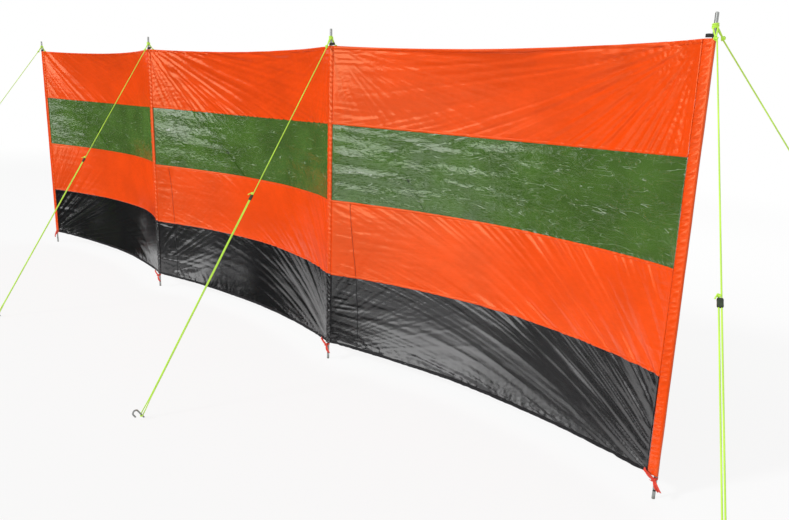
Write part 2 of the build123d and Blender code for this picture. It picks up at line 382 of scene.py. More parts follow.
def cord_finish(name, colour):
    """Braided cord on UV: crossing strands that wind round it, with a dull fluorescent colour, painted shade
    between the strands and a painted glow.
    """
    s = Shading(bpy.data.materials.new(name))
    uv = s.uv()
    around = s.part(uv, 0) * (2 * pi * 4.0)
    along = s.part(uv, 1) * (2 * pi * 2.0)
    braid = s.sine(around + along) * s.sine(around - along)
    # The strands are lighter on top and darker where the braid sinks between them: painted shade.
    tone = s.smooth(braid, low=-0.6, high=0.6)
    grime = s.smooth(s.noise(s.place(), scale=9.0, detail=3.0), low=0.5, high=0.75)
    worn = s.mixed(grime * 0.35, colour, shaded(colour, 0.7))
    return s.surface(s.principled({
        "Base Color": s.mixed(tone, shaded(colour, 0.72), worn),
        "Roughness": 0.62 + tone * 0.12,
        # The emission is a painted glow that brightens the cord under any light, standing in for its
        # fluorescence.
        "Emission Color": shaded(colour, 0.9),
        "Emission Strength": 0.22,
        "Normal": s.bump(braid, distance=0.0005, strength=0.8),
    }))


def woven_finish(name, colour, pitch, roughness):
    """Woven tape on UV in metres: ribs across the tape, crossed by finer warp threads, with painted shade in
    the hollows and painted highlight on the ribs.
    """
    warp_pitch = 0.7 * pitch
    s = Shading(bpy.data.materials.new(name))
    uv = s.uv()
    ribs = s.sine(s.part(uv, 1) * (2 * pi / pitch))
    warp = s.sine(s.part(uv, 0) * (2 * pi / warp_pitch))
    weave = ribs * 0.6 + ribs * warp * 0.4
    fuzz = s.noise(s.place(), scale=260.0, detail=3.0)
    # The weave lightens the ribs and darkens the hollows between them: painted highlight and painted shade,
    # mixed with random fuzz.
    tone = s.smooth(weave * 0.5 + fuzz, low=0.1, high=1.0)
    return s.surface(s.principled({
        "Base Color": s.mixed(tone, shaded(colour, 0.6), shaded(colour, 1.25)),
        "Roughness": roughness + fuzz * 0.1,
        "Sheen Weight": 0.15,
        "Normal": s.bump(weave, distance=0.0003, strength=0.7),
    }))


def steel_finish(name, colour, ring=None):
    """Drawn steel: grain along its length and dull spots. A pole also has a dark ring and a soiled foot."""
    ring_colour = (0.02, 0.02, 0.018)
    soil_colour = (0.10, 0.085, 0.05)
    blur = 0.001
    s = Shading(bpy.data.materials.new(name))
    place = s.place()
    grain = s.noise(s.stretched(place, (260.0, 260.0, 6.0)), scale=1.0, detail=4.0)
    spots = s.smooth(s.noise(place, scale=46.0, detail=5.0, roughness=0.65), low=0.55, high=0.8)
    tone = s.mixed(spots * 0.6, s.mixed(grain, shaded(colour, 0.7), colour), shaded(colour, 0.45))
    roughness = 0.26 + grain * 0.16 + spots * 0.2
    metal = 1.0 - spots * 0.25
    if ring is not None:
        low, high = ring
        height = s.part(place, 2)
        band = s.smooth(height, low - blur, low) * (1.0 - s.smooth(height, high, high + blur))
        soil = 1.0 - s.smooth(height + grain * 0.02, low=0.008, high=0.03)
        tone = s.mixed(soil * 0.5, s.mixed(band, tone, ring_colour), soil_colour)
        roughness = roughness + band * 0.3 + soil * 0.3
        metal = metal * (1.0 - band * 0.8) * (1.0 - soil * 0.5)
    return s.surface(s.principled({
        "Base Color": tone,
        "Metallic": metal,
        "Roughness": roughness,
        "Normal": s.bump(grain, distance=0.0002, strength=0.5),
    }))


def plastic_finish(name, colour):
    """Moulded plastic: fine grain and rubbed, slightly lighter patches."""
    s = Shading(bpy.data.materials.new(name))
    grain = s.noise(s.place(), scale=900.0)
    rubbed = s.smooth(s.noise(s.place(), scale=120.0, detail=3.0), low=0.5, high=0.75)
    return s.surface(s.principled({
        "Base Color": s.mixed(rubbed, colour, shaded(colour, 2.2)),
        "Roughness": 0.38 + rubbed * 0.2,
        "Normal": s.bump(grain, distance=0.00015, strength=0.5),
    }))


def gradient_noise(u, v, seed):
    """Smooth noise of two coordinates, from about -0.7 to 0.7.

    Every corner of a unit grid has a random direction. Its slope along that direction is blended
    over the cell with the curve 6t^5 - 15t^4 + 10t^3.
    """
    size = 256
    angle = np.random.default_rng(seed).random((size, size)) * 2 * pi
    cell_u = np.floor(u).astype(int)
    cell_v = np.floor(v).astype(int)
    in_u = u - cell_u
    in_v = v - cell_v

    def corner(step_u, step_v):
        turn = angle[(cell_u + step_u) % size, (cell_v + step_v) % size]
        return np.cos(turn) * (in_u - step_u) + np.sin(turn) * (in_v - step_v)

    blend_u = in_u**3 * (in_u * (in_u * 6 - 15) + 10)
    blend_v = in_v**3 * (in_v * (in_v * 6 - 15) + 10)
    low = corner(0, 0) + blend_u * (corner(1, 0) - corner(0, 0))
    high = corner(0, 1) + blend_u * (corner(1, 1) - corner(0, 1))
    return low + blend_v * (high - low)


def crest(noise):
    """Noise drawn to narrow ridges: highest where it is nought, falling to both sides."""
    steepness = 3.2
    return np.clip(1 - steepness * np.abs(noise), 0, 1) ** 2


def step(value, low, high):
    """0 below low, 1 above high, and a smooth rise between."""
    share = np.clip((value - low) / (high - low), 0, 1)
    return share * share * (3 - 2 * share)


def corner_fan(level, upright, share, seam_share, seed):
    """Folds that leave a corner like spokes, at a level and an upright distance from it.

    Broad folds are noise over the angle that changes slowly with the distance. They start small at
    the corner and fade far from it. Narrow folds on the same spokes gather towards the seams: each
    time the distance doubles, twice as many of them take over, so that they stay about as wide.
    Ridges are added to both, and a number taken off keeps the mean near nought. The share is the
    strength of the fan, and its cube that of the narrow folds.
    """
    start = 0.25
    rise_reach = 0.06
    fade_reach = 0.8
    narrow_share = 0.42
    distance = np.hypot(level, upright) + 1e-4
    angle = np.arctan2(upright, level)
    octave = np.log2(distance / start)

    def spokes(kind, doubling=0):
        count, drift, kind_seed = SPOKES[kind]
        return gradient_noise(angle * count * 2.0**doubling, octave * drift, seed + kind_seed + doubling)

    broad = spokes("broad") + 0.9 * crest(spokes("broad_ridge")) - 0.27
    narrow = sum(
        np.clip(1 - np.abs(octave - doubling), 0, 1)
        * (spokes("narrow", doubling) + 0.8 * crest(spokes("narrow_ridge", doubling)) - 0.2)
        for doubling in range(-2, 4)
    )
    rise = distance / (distance + rise_reach)
    fade = np.exp(-((distance / fade_reach) ** 2))
    return (broad * fade * share + narrow_share * seam_share * narrow * share**3) * rise


def wrinkles(bay, across, height, cloth):
    """Depth of the folds of a bay's cloth, towards the rear, at shares across it and at heights.

    It adds broad waves, corner fans, long level folds, gathers beside the poles, long soft waves and
    crinkles in the window film, and waves along the bottom hem. The sewn edges stay put.
    """
    left, right = BAY_EDGES[bay]
    from_left = across * (right - left)
    from_right = (1 - across) * (right - left)
    under_top = TOP_EDGE - height
    over_foot = height - BOTTOM_EDGE
    seed = 1000 * bay

    def folds(kind, level, upright, lean=0.0):
        """Noise with that kind's wavelengths, shifted upright by so many waves."""
        level_wave, upright_wave, kind_seed = FOLDS[kind]
        return gradient_noise(level / level_wave, upright / upright_wave + lean, seed + kind_seed)

    def near(kind, distance):
        """1 at that edge, falling to 1/e at its reach."""
        return np.exp(-distance / REACHES[kind])

    outside, inside = 0.004, 0.02
    film = step(height, WINDOW_SILL - outside, WINDOW_SILL + inside)
    film = film - step(height, WINDOW_HEAD - inside, WINDOW_HEAD + outside)
    soft = 1 - film
    seam_share = sum(near("seam", np.abs(height - seam)) for seam in SEAM_HEIGHTS)
    upper = step(height, WINDOW_SILL, WINDOW_HEAD)
    corners = (
        (from_left, under_top, upper),
        (from_right, under_top, upper),
        (from_left, over_foot, 1 - upper),
        (from_right, over_foot, 1 - upper),
    )
    fans = sum(
        reach * corner_fan(level + beyond, upright + above, share, seam_share, seed + 100 * index)
        for index, ((level, upright, reach), (share, beyond, above)) in enumerate(zip(corners, FANS[bay]))
    )
    bow = 9 * (from_left - 0.1) ** 2
    beside_left = folds("left_gather", from_left, height, bow)
    beside_left = beside_left + 0.9 * crest(folds("left_ridge", from_left, height, -bow)) - 0.2
    uneven = np.clip(0.45 + 1.6 * folds("patches", from_left, height), 0.05, 1.2)
    beside_left = GATHER_SHARES[bay] * uneven * beside_left * near("left_pole", from_left)
    beside_right = folds("right_gather", from_right, height) * near("right_pole", from_right)
    waves = folds("film_wave", from_left, height, 1.5 * from_left)
    crinkles = folds("crinkle", from_left, height) + crest(folds("crinkle_ridge", from_left, height))
    bag = -np.sin(pi * np.clip((height - WINDOW_SILL) / (WINDOW_HEAD - WINDOW_SILL), 0, 1))
    hem_slant = 0.84
    hem = folds("hem", from_left + hem_slant * over_foot, over_foot)
    hem = hem + 0.5 * folds("fine_hem", from_left, over_foot)
    hem = hem * (1.15 - 0.8 * across) * near("hem", over_foot)
    depth = (
        cloth.billow * folds("billow", from_left, height)
        + (1 - 0.8 * film) * cloth.fan * fans
        + soft * cloth.pull * folds("pull", from_left, height, 2 * from_left)
        + (0.25 + 0.75 * soft) * cloth.pucker * (beside_left + 0.7 * beside_right)
        + film * FILM_SHARES[bay] * (cloth.film_wave * waves + cloth.film_bag * bag)
        + film * cloth.film_crinkle * crinkles
        + cloth.hem_wave * hem
    )
    return depth * (1 - near("sewn", np.minimum(from_left, from_right)))


def bay_points(bay, across, height, cloth, lift=0.0):
    """Points of a bay's cloth at shares across it and at heights taken at the poles.

    Level lines are circular arcs that belly to the rear and sag by the same shape. The belly at
    each height is a smooth curve through the bellies of the five seams, and the folds are added
    to it. Lift moves the points to the front.
    """
    left, right = BAY_EDGES[bay]
    width = right - left
    belly = BELLY(height)
    depth = np.hypot(belly, EDGE_SAG)
    radius = (width**2 / 4 + depth**2) / (2 * depth)
    arc = (np.sqrt(radius**2 - ((across - 0.5) * width) ** 2) - radius + depth) / depth
    x = left + across * width
    y = belly * arc + wrinkles(bay, across, height, cloth) - lift
    z = height - EDGE_SAG * arc
    return np.stack(np.broadcast_arrays(x, y, z), axis=-1)


def uv_grid(around, along):
    """UV of a grid from the places of its columns and of its rows."""
    return np.stack(np.meshgrid(around, along), axis=-1)


def patch(points, uv, around=False):
    """A grid of points as corners, four-sided faces and their UV.

    Around joins the last column to the first.
    """
    rows, columns = points.shape[:2]
    spans = columns if around else columns - 1
    row, column = np.meshgrid(np.arange(rows - 1), np.arange(spans), indexing="ij")
    turns = ((0, 0), (0, 1), (1, 1), (1, 0))
    faces = np.stack([(row + down) * columns + (column + over) % columns for down, over in turns], axis=-1)
    faces_uv = np.stack([uv[row + down, column + over] for down, over in turns], axis=2)
    return points.reshape(-1, 3), faces.reshape(-1, 4), faces_uv.reshape(-1, 4, 2)


def closed_ends(rings):
    """Rings with both ends closed: the middles of the first and the last ring, as rings of their own."""
    ends = rings[[0, -1]].mean(axis=1, keepdims=True).repeat(rings.shape[1], axis=1)
    return np.concatenate([ends[:1], rings, ends[1:]])


def unit(vectors):
    """Vectors of the same direction and length 1."""
    return vectors / np.linalg.norm(vectors, axis=-1, keepdims=True)


def carried(path, profile, reference, closed=False, turn=0.0):
    """A closed profile carried along a path: its first axis is square to the path and the reference.

    The profile may be turned about the path. Open paths are closed at both ends by points on the
    path, closed paths by their first ring.
    """
    if closed:
        tangent = unit(np.roll(path, -1, axis=0) - np.roll(path, 1, axis=0))
    else:
        tangent = unit(np.gradient(path, axis=0))
    side = unit(np.cross(tangent, np.broadcast_to(reference, tangent.shape)))
    up = np.cross(side, tangent)
    turn = np.broadcast_to(turn, len(path))[:, None]
    first = np.cos(turn) * side + np.sin(turn) * up
    second = np.cos(turn) * up - np.sin(turn) * side
    rings = path[:, None] + profile[:, 0, None] * first[:, None] + profile[:, 1, None] * second[:, None]
    reach = np.concatenate([[0], np.cumsum(np.linalg.norm(np.diff(path, axis=0), axis=1))])
    if closed:
        rings = np.concatenate([rings, rings[:1]])
        reach = np.append(reach, reach[-1] + np.linalg.norm(path[0] - path[-1]))
    else:
        ends = np.repeat(path[[0, -1], None], len(profile), axis=1)
        rings = np.concatenate([ends[:1], rings, ends[1:]])
        reach = np.concatenate([[reach[0]], reach, [reach[-1]]])
    edge = np.linalg.norm(np.diff(np.vstack([profile, profile[:1]]), axis=0), axis=1)
    girth = np.concatenate([[0], np.cumsum(edge)])
    return patch(rings, uv_grid(girth, reach), around=True)


def turn_angles(count):
    """Angles evenly spaced over one turn, the last one short of it."""
    return np.arange(count) * 2 * pi / count


def squared_ring(sides, power):
    """Points of a superellipse of radius 1: cosine and sine raised to a power, with their signs kept."""
    angle = turn_angles(sides)
    points = np.stack([np.cos(angle), np.sin(angle)], axis=-1)
    return np.sign(points) * np.abs(points) ** power


def circle(radius, sides=10):
    """Points of a round profile."""
    return radius * squared_ring(sides, 1.0)


def flat_strip(width, thickness, sides=12):
    """Points of a strip's profile: a flattened ring with full, rounded edges."""
    return squared_ring(sides, 0.5) * (width / 2, thickness / 2)


def piece(name, patches, finish, replaced=(), closed=True):
    """One object of all the patches, with its UV, finish, slot and the CAD nodes that it stands for.

    Closed pieces have their doubles merged and their faces turned outwards.
    """
    corners = np.concatenate([part[0] for part in patches])
    starts = np.cumsum([0] + [len(part[0]) for part in patches[:-1]])
    faces = np.concatenate([part[1] + start for part, start in zip(patches, starts)])
    faces_uv = np.concatenate([part[2] for part in patches])
    mesh = bpy.data.meshes.new(name)
    mesh.vertices.add(len(corners))
    mesh.vertices.foreach_set("co", corners.ravel())
    mesh.loops.add(faces.size)
    mesh.loops.foreach_set("vertex_index", faces.ravel())
    mesh.polygons.add(len(faces))
    mesh.polygons.foreach_set("loop_start", np.arange(0, faces.size, faces.shape[1]))
    mesh.update(calc_edges=True)
    mesh.uv_layers.new(name="UVMap").data.foreach_set("uv", faces_uv.ravel())
    if closed:
        work = bmesh.new()
        work.from_mesh(mesh)
        bmesh.ops.remove_doubles(work, verts=work.verts, dist=1e-6)
        bmesh.ops.recalc_face_normals(work, faces=work.faces)
        work.to_mesh(mesh)
        work.free()
    mesh.shade_smooth()
    mesh.materials.append(finish)
    made = bpy.data.objects.new(name, mesh)
    bpy.context.scene.collection.objects.link(made)
    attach(made, "root")
    if replaced:
        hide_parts(*replaced)
    return made


def pole_pieces(make, word, finish, node):
    """One piece at every pole, of the patches that make gives for its number."""
    for number in NUMBERS:
        piece(f"{word}_{number}", make(number), finish, [f"{node}_{number}"])


def row_pieces(make, word, finish, node):
    """One piece in front and one behind, of the patch that make gives for every pole."""
    for row, facing in ROWS.items():
        parts = [make(number, facing) for number in NUMBERS]
        piece(f"{row}_{word}", parts, finish, [f"{row}_{node}"])


def thicken(made, thickness, offset):
    """Gives a sheet its thickness, to both sides or inwards."""
    wall = made.modifiers.new("thickness", "SOLIDIFY")
    wall.thickness = thickness
    wall.offset = offset


class WINDBREAK_OT_bands(bpy.types.Operator):
    """Makes the cloth bands and window films of every bay"""

    bl_idname = "windbreak.bands"
    bl_label = "Cloth bands and windows"

    def execute(self, context):
        cloth = context.scene.windbreak_cloth
        colours = context.scene.windbreak_colours
        orange = cloth_finish(
            "orange_coated_cloth", colours.orange,
            gloss=1.0, roughness=0.24, light_share=1.06, gloss_tint=(1.0, 0.75, 0.38),
        )
        black = cloth_finish(
            "black_coated_cloth", colours.black, gloss=1.0, roughness=0.17, light_share=1.4, relief=0.25
        )
        film = film_finish("tinted_clear_film", colours.film)
        kinds = (
            ("skirt", "skirt_cloth", black, "black_cloth"),
            ("middle_band", "middle_cloth", orange, "orange_cloth"),
            ("window", "window_film", film, "clear_film"),
            ("top_band", "top_cloth", orange, "orange_cloth"),
        )
        for bay in BAYS:
            left, right = BAY_EDGES[bay]
            grid_step = cloth.grid_step * GRID_SHARES[bay]
            columns = round((right - left) / grid_step) + 1
            for (node, word, finish, slot), low, high in zip(kinds, SEAM_HEIGHTS, SEAM_HEIGHTS[1:]):
                rows = round((high - low) / grid_step) + 1
                across, height = np.meshgrid(np.linspace(0, 1, columns), np.linspace(low, high, rows))
                points = bay_points(bay, across, height, cloth)
                uv = np.stack([across * (right - left) + left, height], axis=-1)
                name = f"bay_{bay}_{word}"
                made = piece(name, [patch(points, uv)], finish, [f"bay_{bay}_{node}"], closed=False)
                thicken(made, cloth.thickness, 0.0)
                middle_belly = float(BELLY((low + high) / 2))
                high - low
        return {"FINISHED"}


class WINDBREAK_OT_seams(bpy.types.Operator):
    """Makes the sewn tucks, the folded hems and the seams between the bands"""

    bl_idname = "windbreak.seams"
    bl_label = "Hems and seams"

    def execute(self, context):
        cloth = context.scene.windbreak_cloth
        colours = context.scene.windbreak_colours
        orange = bpy.data.materials["orange_coated_cloth"]
        dull = cloth_finish("dull_black_hem_cloth", colours.black, gloss=0.3, roughness=0.6, light_share=1.6)
        tucks = (
            ("skirt_tuck", BOTTOM_EDGE, SKIRT_HEAD, colours.black, "black_cloth"),
            # The middle tuck is orange at half its lightness: a painted shade line along the raised tuck.
            ("middle_tuck_painted_shade", SKIRT_HEAD, WINDOW_SILL, shaded(colours.orange, 0.5), "orange_cloth"),
        )
        for word, low, high, colour, slot in tucks:
            finish = cloth_finish(f"{word}_cloth", colour, gloss=0.25, roughness=0.55, light_share=1.2)
            for bay in TUCK_BAYS:
                piece(f"bay_{bay}_{word}", [self.upright_strip(bay, low, high, cloth)], finish)
        seams = (
            ("bottom_hem", BOTTOM_EDGE + cloth.hem_width / 2, cloth.hem_width, dull, "black_cloth"),
            ("skirt_seam", SKIRT_HEAD, cloth.seam_width, orange, "orange_cloth"),
            ("sill_seam", WINDOW_SILL, cloth.seam_width, orange, "orange_cloth"),
            ("head_seam", WINDOW_HEAD, cloth.seam_width, orange, "orange_cloth"),
            ("top_hem", TOP_EDGE - cloth.hem_width / 2, cloth.hem_width, orange, "orange_cloth"),
        )
        for bay in BAYS:
            for word, middle, width, finish, slot in seams:
                piece(f"bay_{bay}_{word}", [self.level_strip(bay, middle, width, cloth)], finish)
        return {"FINISHED"}

    def level_strip(self, bay, middle, width, cloth):
        """A flat strip that follows the cloth from pole to pole, its middle at a height."""
        left, right = BAY_EDGES[bay]
        columns = round((right - left) / (cloth.grid_step * GRID_SHARES[bay])) + 1
        profile = flat_strip(width, cloth.seam_thickness, STRIP_SIDES)
        across = np.linspace(0, 1, columns)[:, None]
        height = middle + profile[None, :, 0]
        points = closed_ends(bay_points(bay, across, height, cloth, profile[None, :, 1]))
        along = np.concatenate([[0], across[:, 0], [1]]) * (right - left) + left
        girth = np.linspace(0, 2 * width, STRIP_SIDES + 1)
        return patch(points, uv_grid(girth + middle, along)[..., ::-1], around=True)

    def upright_strip(self, bay, low, high, cloth):
        """A flat strip that follows the cloth upwards, nearer to the left edge as it climbs."""
        width, girth = 0.0028, 0.008
        left, right = BAY_EDGES[bay]
        profile = flat_strip(width, cloth.seam_thickness, STRIP_SIDES)
        height = np.linspace(low, high, round((high - low) / cloth.grid_step) + 1)[:, None]
        distance = np.interp(height, (BOTTOM_EDGE, WINDOW_SILL), TUCK_DISTANCES)
        across = (distance + profile[None, :, 0]) / (right - left)
        points = closed_ends(bay_points(bay, across, height, cloth, profile[None, :, 1]))
        along = np.concatenate([[low], height[:, 0], [high]])
        return patch(points, uv_grid(np.linspace(0, girth, STRIP_SIDES + 1), along), around=True)


class WINDBREAK_OT_sleeves(bpy.types.Operator):
    """Makes the sewn sleeves that hold the poles"""

    bl_idname = "windbreak.sleeves"
    bl_label = "Pole sleeves"

    def execute(self, context):
        orange = bpy.data.materials["orange_coated_cloth"]
        black = bpy.data.materials["black_coated_cloth"]
        kinds = (
            ("pole_sleeve", "sleeve_cloth", orange, "orange_cloth", NUMBERS),
            ("lower_sleeve", "lower_sleeve_cloth", black, "black_cloth", MIDDLE_NUMBERS),
        )
        for number in NUMBERS:
            for node, word, finish, slot, numbers in kinds:
                if number in numbers:
                    sleeve = self.sleeve(number, f"{node}_{number}")
                    made = piece(f"{word}_{number}", [sleeve], finish, [f"{node}_{number}"])
                    thicken(made, context.scene.windbreak_cloth.thickness, -1.0)
        return {"FINISHED"}

    def sleeve(self, number, node):
        """A drop-shaped ring carried up the pole: a circle drawn out to the seam where it carries cloth.

        Points at angle a lie at R cos a + (D - R) cos^3 a along the row, with D the distance of the
        seam on that side, and at R sin a across it. Slanting gathers are added along the seams.
        """
        row_step, sides = 0.0032, 18
        gather_pitch, gather_depth, swell_depth = 0.021, 0.0034, 0.0008
        least_reach = 0.002
        low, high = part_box(node)
        radius = (high.y - low.y) / 2
        centre = POLE_X[number]
        angle = turn_angles(sides)
        height = np.linspace(low.z, high.z, round((high.z - low.z) / row_step) + 1)[:, None]
        reach = np.where(np.cos(angle) > 0, high.x - centre, centre - low.x) - radius
        drawn = np.abs(np.cos(angle)) ** 3
        seed = 5000 + 10 * number
        drift = 0.8 * gradient_noise(height / 0.05, np.zeros_like(height), seed)
        sewn = np.where(reach > least_reach, 4.6 * drawn * (1.0 - drawn), 0.0)
        slanted = sewn * np.cos(2 * pi * (height / gather_pitch + 0.9 * drawn + drift))
        slanted = slanted * (0.75 + gradient_noise(height / 0.03, 2 * drawn, seed + 2))
        swollen = radius + swell_depth * gradient_noise(height / 0.09, angle * 1.2, seed + 1)
        x = centre + swollen * np.cos(angle) + np.sign(np.cos(angle)) * reach * drawn
        y = swollen * np.sin(angle) + gather_depth * slanted * np.sign(np.sin(angle))
        points = np.stack(np.broadcast_arrays(x, y, height), axis=-1)
        girth = np.linspace(0, 2 * (high.x - low.x), sides + 1)
        return patch(points, uv_grid(girth, height[:, 0]), around=True)


def guy_axes(number, facing):
    """Hitch point, unit vectors along and across a guy line, the normal of both, and its length."""
    reach = GUY_REACHES[facing]
    splay = reach * tan(END_GUY_ANGLE)
    outward = np.array([{1: -splay, 4: splay}.get(number, 0.0), facing * reach, 0.0])
    hitch = np.array([POLE_X[number], 0.0, HITCH_HEIGHT])
    foot = np.array([POLE_X[number], 0.0, GROUND_LOOP_HEIGHT]) + outward
    along = unit(foot - hitch)
    across = unit(np.cross([0, 0, 1], outward))
    return hitch, along, across, np.cross(along, across), np.linalg.norm(foot - hitch)


def levelled(vector):
    """The level part of a vector as a unit vector, and the length of that part."""
    level = vector * (1, 1, 0)
    return unit(level), np.linalg.norm(level)


def knot(centre, axes, reference, width, cord, points=72):
    """A knot of cord on a trefoil: (sin t + 2 sin 2t, cos t - 2 cos 2t, -1.6 sin 3t) in the given axes."""
    t = turn_angles(points)
    loops = (np.sin(t) + 2 * np.sin(2 * t), np.cos(t) - 2 * np.cos(2 * t), -1.6 * np.sin(3 * t))
    path = centre + np.stack(loops, axis=-1) * width / 6 @ np.asarray(axes)
    return carried(path, circle(cord, 8), reference, closed=True)


class WINDBREAK_OT_guys(bpy.types.Operator):
    """Makes the guy lines with their hitches, knots, strands and peg loops"""

    bl_idname = "windbreak.guys"
    bl_label = "Guy lines"

    def execute(self, context):
        finish = cord_finish("braided_guy_cord", context.scene.windbreak_colours.guy)
        pole_pieces(self.guy, "guy_cord", finish, "guy_line")
        return {"FINISHED"}

    def guy(self, number):
        """The hitch of a pole and its lines to the front and rear."""
        return [self.hitch(number), *(part for facing in ROWS.values() for part in self.line(number, facing))]

    def hitch(self, number):
        """Turns of cord that climb the pole: a helix."""
        turns, pitch = 3, 0.0042
        t = np.linspace(0, 2 * pi * turns, 30 * turns)
        climb = HITCH_HEIGHT + (t / (2 * pi) - turns / 2) * pitch
        x = POLE_X[number] + HITCH_RADIUS * np.cos(t)
        y = HITCH_RADIUS * np.sin(t)
        return carried(np.stack([x, y, climb], axis=-1), circle(ROPE_RADIUS), (0, 0, 1))

    def line(self, number, facing):
        """One line to the front or rear: two strands to a knot, the long loop, and a knot with a loose end."""
        strand_lift = 0.003
        tail_length, tail_drop = 0.016, 0.012
        hitch, along, across, normal, length = guy_axes(number, facing)
        axes = (across, normal, along)
        reference = along + 0.3 * across
        rope = circle(ROPE_RADIUS)
        start = hitch + HITCH_DISTANCE * along
        outward, level_share = levelled(along)
        touch = np.arccos(HITCH_RADIUS / (HITCH_DISTANCE * level_share))
        parts = []
        for side in (-1, 1):
            leave = HITCH_RADIUS * (cos(touch) * outward + side * sin(touch) * across)
            leave = hitch + leave + (0, 0, side * strand_lift)
            parts.append(carried(np.linspace(leave, start, 8), rope, normal))
        parts.append(knot(start, axes, reference, width=0.0105, cord=0.0019))
        run, offset = self.long_loop(length)
        path = hitch + run[:, None] * along + offset[:, None] * across
        parts.append(carried(path, rope, normal))
        end = path[-1]
        parts.append(knot(end, axes, reference, width=0.0085, cord=0.0017))
        t = np.linspace(0, 1, 10)[:, None]
        tail = end + tail_length * t * (0.55 * normal - 0.6 * across) + along * tail_drop * t**2
        parts.append(carried(tail, circle(0.0018, 8), along))
        return parts

    def long_loop(self, length):
        """Distances along and across a line: down one strand, round a half circle and up to the slider.

        The strands stand apart by a small offset and spread smoothly to the half circle's radius.
        """
        taper_start = length - GROUND_LOOP_TAPER
        stop = length * SLIDER_SHARE - 0.017
        down = np.linspace(HITCH_DISTANCE, taper_start, 60)
        taper = np.linspace(taper_start, length, 14)[1:]
        bend = np.linspace(pi / 2, -pi / 2, 14)[1:-1]
        back = np.linspace(taper_start, stop, 40)
        spread = STRAND_OFFSET + (GROUND_LOOP_RADIUS - STRAND_OFFSET) * step(taper, taper_start, length)
        run = np.concatenate([down, taper, length + GROUND_LOOP_RADIUS * np.cos(bend), taper[::-1], back])
        offset = np.concatenate([
            np.full(len(down), STRAND_OFFSET),
            spread,
            GROUND_LOOP_RADIUS * np.sin(bend),
            -spread[::-1],
            np.full(len(back), -STRAND_OFFSET),
        ])
        return run, offset


class WINDBREAK_OT_sliders(bpy.types.Operator):
    """Makes the moulded sliders on the guy lines"""

    bl_idname = "windbreak.sliders"
    bl_label = "Guy sliders"

    def execute(self, context):
        finish = plastic_finish("moulded_slider_plastic", context.scene.windbreak_colours.plastic)
        row_pieces(self.slider, "slider_bars", finish, "guy_sliders")
        return {"FINISHED"}

    def slider(self, number, facing):
        """A waisted bar: a superellipse ring carried along the line, closed to a point at both ends."""
        half_length, half_width, half_thickness, girth = 0.012, 0.008, 0.0045, 0.05
        hitch, along, across, normal, length = guy_axes(number, facing)
        t = np.linspace(-1, 1, 25)
        swell = (1 - np.abs(t) ** 5) ** 0.4 * (0.86 + 0.14 * t**2)
        section = swell[:, None, None] * squared_ring(20, 0.55)
        points = (
            hitch + SLIDER_SHARE * length * along
            + half_length * t[:, None, None] * along
            + half_width * section[..., :1] * across
            + half_thickness * section[..., 1:] * normal
        )
        around = np.linspace(0, girth, section.shape[1] + 1)
        return patch(points, uv_grid(around, t * half_length), around=True)


class WINDBREAK_OT_pegs(bpy.types.Operator):
    """Makes the hooked wire pegs"""

    bl_idname = "windbreak.pegs"
    bl_label = "Pegs"

    def execute(self, context):
        finish = steel_finish("peg_steel_wire", shaded(context.scene.windbreak_colours.steel, 0.85))
        row_pieces(self.peg, "wire_pegs", finish, "pegs")
        return {"FINISHED"}

    def peg(self, number, facing):
        """Round wire from the ground up a leaning shank, round a half circle and down a short tail."""
        lean_angle = radians(35)
        wire, gap, lowest = 0.003, 0.0003, 0.0012
        shank, hook_radius, tail_length = 0.024, 0.010, 0.012
        hitch, along, across, normal, length = guy_axes(number, facing)
        outward, level_share = levelled(along)
        lean = sin(lean_angle) * outward + np.array([0, 0, cos(lean_angle)])
        away = cos(lean_angle) * outward - np.array([0, 0, sin(lean_angle)])
        bearing = (ROPE_RADIUS + wire + gap) / cos(np.arccos(level_share) - lean_angle)
        held = hitch + (length + GROUND_LOOP_RADIUS - bearing) * along
        foot = held - lean * (held[2] - lowest) / lean[2]
        head = held + shank * lean
        turn = np.linspace(0, pi, 16)[1:, None]
        hook = head + hook_radius * (np.sin(turn) * lean + (1 - np.cos(turn)) * away)
        tail = hook[-1] - np.linspace(0, tail_length, 5)[1:, None] * lean
        path = np.concatenate([np.linspace(foot, head, 10), hook, tail])
        return carried(path, circle(wire, 12), across)


class WINDBREAK_OT_webbing(bpy.types.Operator):
    """Makes the webbing loops on top of the sleeves"""

    bl_idname = "windbreak.webbing"
    bl_label = "Webbing loops"

    def execute(self, context):
        colour = context.scene.windbreak_colours.webbing
        finish = woven_finish("woven_black_webbing", colour, pitch=0.0016, roughness=0.6)
        pole_pieces(self.strap, "webbing_strap", finish, "webbing_loop")
        return {"FINISHED"}

    def strap(self, number):
        """A flat strap on a drop-shaped path: a circle round the pole drawn out over the cloth by a cube."""
        gap, thickness, width_share = 0.0014, 0.0015, 0.62
        tilt, wave = 0.0022, 0.0006
        low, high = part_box(f"webbing_loop_{number}")
        centre = POLE_X[number]
        reach = (low.x if number == NUMBERS[-1] else high.x) - centre
        t = turn_angles(48)
        radius = POLE_RADIUS + gap
        drawn = np.clip(np.cos(t), 0, 1) ** 3
        x = centre + np.sign(reach) * (radius * np.cos(t) + (abs(reach) - radius) * drawn)
        y = radius * np.sin(t)
        z = 0.6 * low.z + 0.4 * high.z + tilt * np.cos(t) + wave * np.sin(3 * t + number)
        profile = flat_strip(thickness, width_share * (high.z - low.z))
        return [carried(np.stack([x, y, z], axis=-1), profile, (0, 0, 1), closed=True)]


